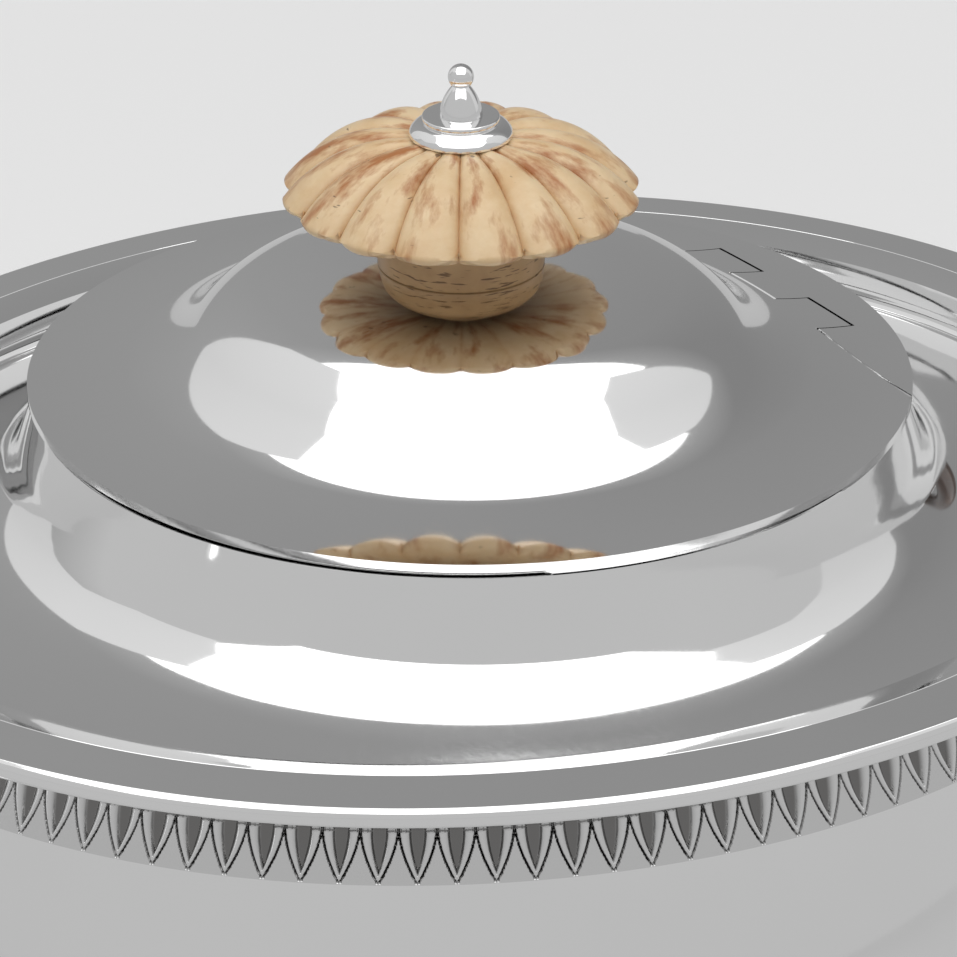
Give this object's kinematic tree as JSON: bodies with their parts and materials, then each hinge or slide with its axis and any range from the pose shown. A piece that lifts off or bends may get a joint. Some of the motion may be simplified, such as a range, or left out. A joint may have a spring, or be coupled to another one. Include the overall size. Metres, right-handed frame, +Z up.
{
  "type": "teapot",
  "caption": "Oval polished silver teapot with a flush-hinged round lid, scalloped bone finial, leaf border under the rim, curved spout and dark wooden handle.",
  "frame": {"origin": "on the table under the centre of the lid", "axes": "+X towards the handle, -X towards the spout, +Z up"},
  "size_m": [0.2856, 0.142, 0.1386],
  "materials": {
    "silver": "polished silver with fine wear",
    "nickel": "dull nickel",
    "bone": "polished bone with brown stains",
    "wood": "dark polished wood"
  },
  "bodies": {
    "pot": {"body_shell": "silver", "base_plate": "silver", "foot_ring": "silver", "shoulder_plate": "silver", "mouth_collar": "silver", "rim_wire": "silver", "leaf_border": "silver", "spout": "silver", "upper_socket": "silver", "lower_socket": "silver", "handle": "wood", "handle_pins": "silver", "hinge_leaf": "silver", "leaf_knuckles": "silver", "hinge_pin": "nickel", "hinge_trough": "silver"},
    "lid": {"lid_cover": "silver", "lid_knuckles": "silver", "lid_bezel": "silver", "finial_stem": "bone", "finial_cap": "bone", "finial_lower_washer": "silver", "finial_upper_washer": "silver", "finial_bell": "silver", "finial_rod": "silver", "nut_washer": "nickel", "finial_nut": "nickel"}
  },
  "joints": [
    {"name": "lid_hinge", "type": "hinge", "parent": "pot", "child": "lid", "pos_m": [0.0352, 0, 0.1058], "axis": [0, 1, 0], "range_deg": [0, 100]}
  ]
}
